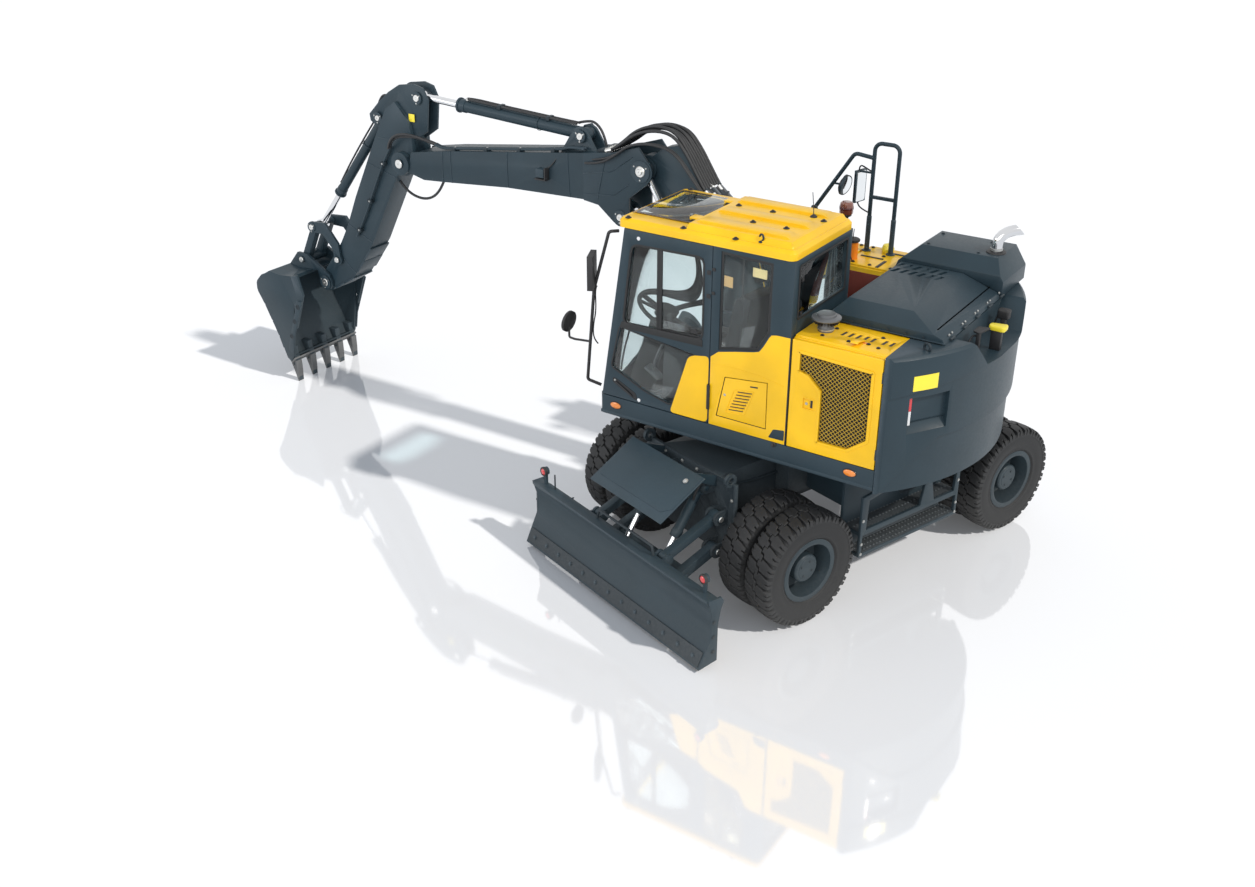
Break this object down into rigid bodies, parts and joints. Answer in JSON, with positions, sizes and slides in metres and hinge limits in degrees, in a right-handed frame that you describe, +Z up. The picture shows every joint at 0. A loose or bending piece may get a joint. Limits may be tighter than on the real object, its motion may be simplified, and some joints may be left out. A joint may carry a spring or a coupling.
{
  "type": "wheeled excavator",
  "caption": "Wheeled excavator with a two-piece boom, toothed bucket, cab, dozer blade and twin tyres; hydraulic linkages, doors, lids, steering and slewing all move.",
  "frame": {"origin": "on the ground under the slewing centre", "axes": "+X the way the cab and boom face, +Y the upper structure's left, +Z up"},
  "size_m": [8.7956, 4.8933, 3.6198],
  "materials": {
    "slate": "satin",
    "yellow": "satin",
    "rim_paint": "satin",
    "tyre_rubber": "matt",
    "glass": "clear",
    "chrome": "polished",
    "seat_fabric": "woven",
    "trim": "matt",
    "amber": "clear",
    "engine": "painted"
  },
  "bodies": {
    "undercarriage": {"chassis": "slate", "cover_plate": "slate", "access_steps": "slate", "rear_axle": "slate", "front_axle": "slate", "driveline": "slate"},
    "wheel_rear_left": {"tyres_rear_left": "tyre_rubber", "rims_rear_left": "rim_paint"},
    "wheel_rear_right": {"tyres_rear_right": "tyre_rubber", "rims_rear_right": "rim_paint"},
    "wheel_front_left": {"tyres_front_left": "tyre_rubber", "rims_front_left": "rim_paint"},
    "wheel_front_right": {"tyres_front_right": "tyre_rubber", "rims_front_right": "rim_paint"},
    "knuckle_left_body": {"knuckle_left": "slate"},
    "knuckle_right_body": {"knuckle_right": "slate"},
    "blade_arm_pair": {"blade_lower_arms": "slate"},
    "blade_link_pair": {"blade_upper_links": "slate"},
    "blade_body": {"blade": "slate"},
    "blade_barrel_pair": {"blade_barrels": "slate"},
    "blade_rod_pair": {"blade_rods": "chrome"},
    "upper": {"slew_platform": "slate", "counterweight": "slate", "engine_block": "engine", "air_precleaner": "slate", "side_body_left": "yellow", "side_body_right": "yellow", "handrails": "slate", "mirror_rail": "slate", "beacon": "amber", "cab_shell": "slate", "cab_glass": "glass", "cab_roof": "yellow", "cab_seat": "seat_fabric", "cab_controls": "trim"},
    "hood": {"engine_hood": "slate", "exhaust_pipe": "slate"},
    "engine_door_body": {"engine_door": "yellow"},
    "service_hatch_body": {"service_hatch": "yellow"},
    "tool_box_lid_body": {"tool_box_lid": "slate"},
    "cab_door_body": {"cab_door": "slate", "door_glass": "glass"},
    "lower_boom_body": {"lower_boom": "slate"},
    "upper_boom_body": {"upper_boom": "slate"},
    "arm_body": {"arm": "slate"},
    "bucket_body": {"bucket": "slate"},
    "side_link_pair": {"arm_side_links": "slate"},
    "bucket_link_body": {"bucket_link": "slate"},
    "lift_barrel_pair": {"lift_barrels": "slate"},
    "lift_rod_pair": {"lift_rods": "chrome"},
    "adjust_barrel_body": {"adjust_barrel": "slate"},
    "adjust_rod_body": {"adjust_rod": "chrome"},
    "arm_barrel_body": {"arm_barrel": "slate"},
    "arm_rod_body": {"arm_rod": "chrome"},
    "bucket_barrel_body": {"bucket_barrel": "slate"},
    "bucket_rod_body": {"bucket_rod": "chrome"}
  },
  "joints": [
    {"name": "slew", "type": "hinge", "parent": "undercarriage", "child": "upper", "pos_m": [0, 0, 1.23], "axis": [0, 0, 1], "continuous": true},
    {"name": "wheel_rear_left_spin", "type": "hinge", "parent": "undercarriage", "child": "wheel_rear_left", "pos_m": [1.25079, 0.67102, 0.52], "axis": [-0.9461, 0.3239, 0], "continuous": true},
    {"name": "steer_left", "type": "hinge", "parent": "undercarriage", "child": "knuckle_left_body", "pos_m": [0.16939, -1.72803, 0.52], "axis": [0, 0, 1], "range_deg": [-25, 25]},
    {"name": "wheel_front_left_spin", "type": "hinge", "parent": "knuckle_left_body", "child": "wheel_front_left", "pos_m": [0.40213, -1.80772, 0.52], "axis": [-0.9461, 0.3239, 0], "continuous": true},
    {"name": "wheel_rear_right_spin", "type": "hinge", "parent": "undercarriage", "child": "wheel_rear_right", "pos_m": [-0.57704, 1.29683, 0.52], "axis": [-0.9461, 0.3239, 0], "continuous": true},
    {"name": "steer_right", "type": "hinge", "parent": "undercarriage", "child": "knuckle_right_body", "pos_m": [-1.19297, -1.26159, 0.52], "axis": [0, 0, 1], "range_deg": [-25, 25]},
    {"name": "wheel_front_right_spin", "type": "hinge", "parent": "knuckle_right_body", "child": "wheel_front_right", "pos_m": [-1.42571, -1.18191, 0.52], "axis": [-0.9461, 0.3239, 0], "continuous": true},
    {"name": "blade_lift", "type": "hinge", "parent": "undercarriage", "child": "blade_arm_pair", "pos_m": [0.45996, 1.34344, 0.49], "axis": [0.9461, -0.3239, 0], "range_deg": [-12, 32]},
    {"name": "blade_level", "type": "hinge", "parent": "blade_arm_pair", "child": "blade_body", "pos_m": [0.63812, 1.86379, 0.29], "axis": [0.9461, -0.3239, 0], "range_deg": [-33, 13]},
    {"name": "blade_link_swing", "type": "hinge", "parent": "undercarriage", "child": "blade_link_pair", "pos_m": [0.45348, 1.32452, 0.8], "axis": [0.9461, -0.3239, 0], "range_deg": [-13, 33]},
    {"name": "blade_barrel_swing", "type": "hinge", "parent": "undercarriage", "child": "blade_barrel_pair", "pos_m": [0.45348, 1.32452, 1.02], "axis": [0.9461, -0.3239, 0], "range_deg": [-7, 16]},
    {"name": "blade_rod_slide", "type": "slide", "parent": "blade_barrel_pair", "child": "blade_rod_pair", "axis": [0.1797, 0.5248, -0.8321], "range_m": [-0.184, 0.075]},
    {"name": "hood_lift", "type": "hinge", "parent": "upper", "child": "hood", "pos_m": [-1.045, -1.083, 2.484], "axis": [1, 0, 0], "range_deg": [0, 60]},
    {"name": "engine_door_swing", "type": "hinge", "parent": "upper", "child": "engine_door_body", "pos_m": [-1.256, 1.249, 2], "axis": [0, 0, -1], "range_deg": [-115, 0]},
    {"name": "service_hatch_swing", "type": "hinge", "parent": "upper", "child": "service_hatch_body", "pos_m": [-0.279, 1.249, 1.82], "axis": [0, 0, -1], "range_deg": [-110, 0]},
    {"name": "tool_box_lid_lift", "type": "hinge", "parent": "upper", "child": "tool_box_lid_body", "pos_m": [0.572, -0.95, 1.997], "axis": [0, -1, 0], "range_deg": [0, 80]},
    {"name": "cab_door_swing", "type": "hinge", "parent": "upper", "child": "cab_door_body", "pos_m": [0.266, 1.249, 2.3], "axis": [0, 0, 1], "range_deg": [0, 165]},
    {"name": "boom_lift", "type": "hinge", "parent": "upper", "child": "lower_boom_body", "pos_m": [0.3, -0.21, 1.95], "axis": [0, -1, 0], "range_deg": [-21, 46]},
    {"name": "boom_adjust", "type": "hinge", "parent": "lower_boom_body", "child": "upper_boom_body", "pos_m": [1.773, -0.21, 3.171], "axis": [0, 1, 0], "range_deg": [-30, 38]},
    {"name": "arm_swing", "type": "hinge", "parent": "upper_boom_body", "child": "arm_body", "pos_m": [4.785, -0.21, 2.801], "axis": [0, -1, 0], "range_deg": [-100, 20]},
    {"name": "bucket_curl", "type": "hinge", "parent": "arm_body", "child": "bucket_body", "pos_m": [6.124, -0.21, 1.219], "axis": [0, 1, 0], "range_deg": [-58, 105]},
    {"name": "lift_barrel_swing", "type": "hinge", "parent": "upper", "child": "lift_barrel_pair", "pos_m": [0.75, -0.21, 1.45], "axis": [0, -1, 0], "range_deg": [-19, 41]},
    {"name": "lift_rod_slide", "type": "slide", "parent": "lift_barrel_pair", "child": "lift_rod_pair", "axis": [0.511, 0, 0.8596], "range_m": [-0.226, 0.483]},
    {"name": "adjust_barrel_swing", "type": "hinge", "parent": "lower_boom_body", "child": "adjust_barrel_body", "pos_m": [0.7, -0.21, 1.83], "axis": [0, -1, 0], "range_deg": [-4, 4]},
    {"name": "adjust_rod_slide", "type": "slide", "parent": "adjust_barrel_body", "child": "adjust_rod_body", "axis": [0.8311, 0, 0.5562], "range_m": [-0.344, 0.273]},
    {"name": "arm_barrel_swing", "type": "hinge", "parent": "upper_boom_body", "child": "arm_barrel_body", "pos_m": [2.52, -0.21, 3.375], "axis": [0, -1, 0], "range_deg": [-11, 3]},
    {"name": "arm_rod_slide", "type": "slide", "parent": "arm_barrel_body", "child": "arm_rod_body", "axis": [0.9985, 0, 0.054], "range_m": [-0.221, 1.067]},
    {"name": "bucket_barrel_swing", "type": "hinge", "parent": "arm_body", "child": "bucket_barrel_body", "pos_m": [5.143, -0.21, 3.213], "axis": [0, -1, 0], "range_deg": [-4, 3]},
    {"name": "bucket_rod_slide", "type": "slide", "parent": "bucket_barrel_body", "child": "bucket_rod_body", "axis": [0.6346, 0, -0.7728], "range_m": [-0.35, 0.625]},
    {"name": "side_link_swing", "type": "hinge", "parent": "arm_body", "child": "side_link_pair", "pos_m": [5.896, -0.21, 1.53], "axis": [0, -1, 0], "range_deg": [-72, 40]},
    {"name": "bucket_link_swing", "type": "hinge", "parent": "bucket_body", "child": "bucket_link_body", "pos_m": [6.478, -0.21, 1.426], "axis": [0, -1, 0], "range_deg": [-41, 72]}
  ],
  "couplings": [
    {"joint": "steer_right", "follows": "steer_left", "ratio": 1},
    {"joint": "blade_level", "follows": "blade_lift", "ratio": -1},
    {"joint": "blade_link_swing", "follows": "blade_lift", "ratio": 1},
    {"joint": "blade_barrel_swing", "follows": "blade_lift", "ratio": 0.45351},
    {"joint": "blade_rod_slide", "follows": "blade_lift", "m_per_rad": -0.31099},
    {"joint": "lift_barrel_swing", "follows": "boom_lift", "ratio": 0.85236},
    {"joint": "lift_rod_slide", "follows": "boom_lift", "m_per_rad": 0.589},
    {"joint": "adjust_barrel_swing", "follows": "boom_adjust", "ratio": 0.071714},
    {"joint": "adjust_rod_slide", "follows": "boom_adjust", "m_per_rad": -0.50317},
    {"joint": "arm_barrel_swing", "follows": "arm_swing", "ratio": 0.098341},
    {"joint": "arm_rod_slide", "follows": "arm_swing", "m_per_rad": -0.60582},
    {"joint": "bucket_barrel_swing", "follows": "bucket_curl", "ratio": -0.025655},
    {"joint": "bucket_rod_slide", "follows": "bucket_curl", "m_per_rad": 0.33582},
    {"joint": "side_link_swing", "follows": "bucket_curl", "ratio": -0.67209},
    {"joint": "bucket_link_swing", "follows": "bucket_curl", "ratio": 0.674}
  ]
}
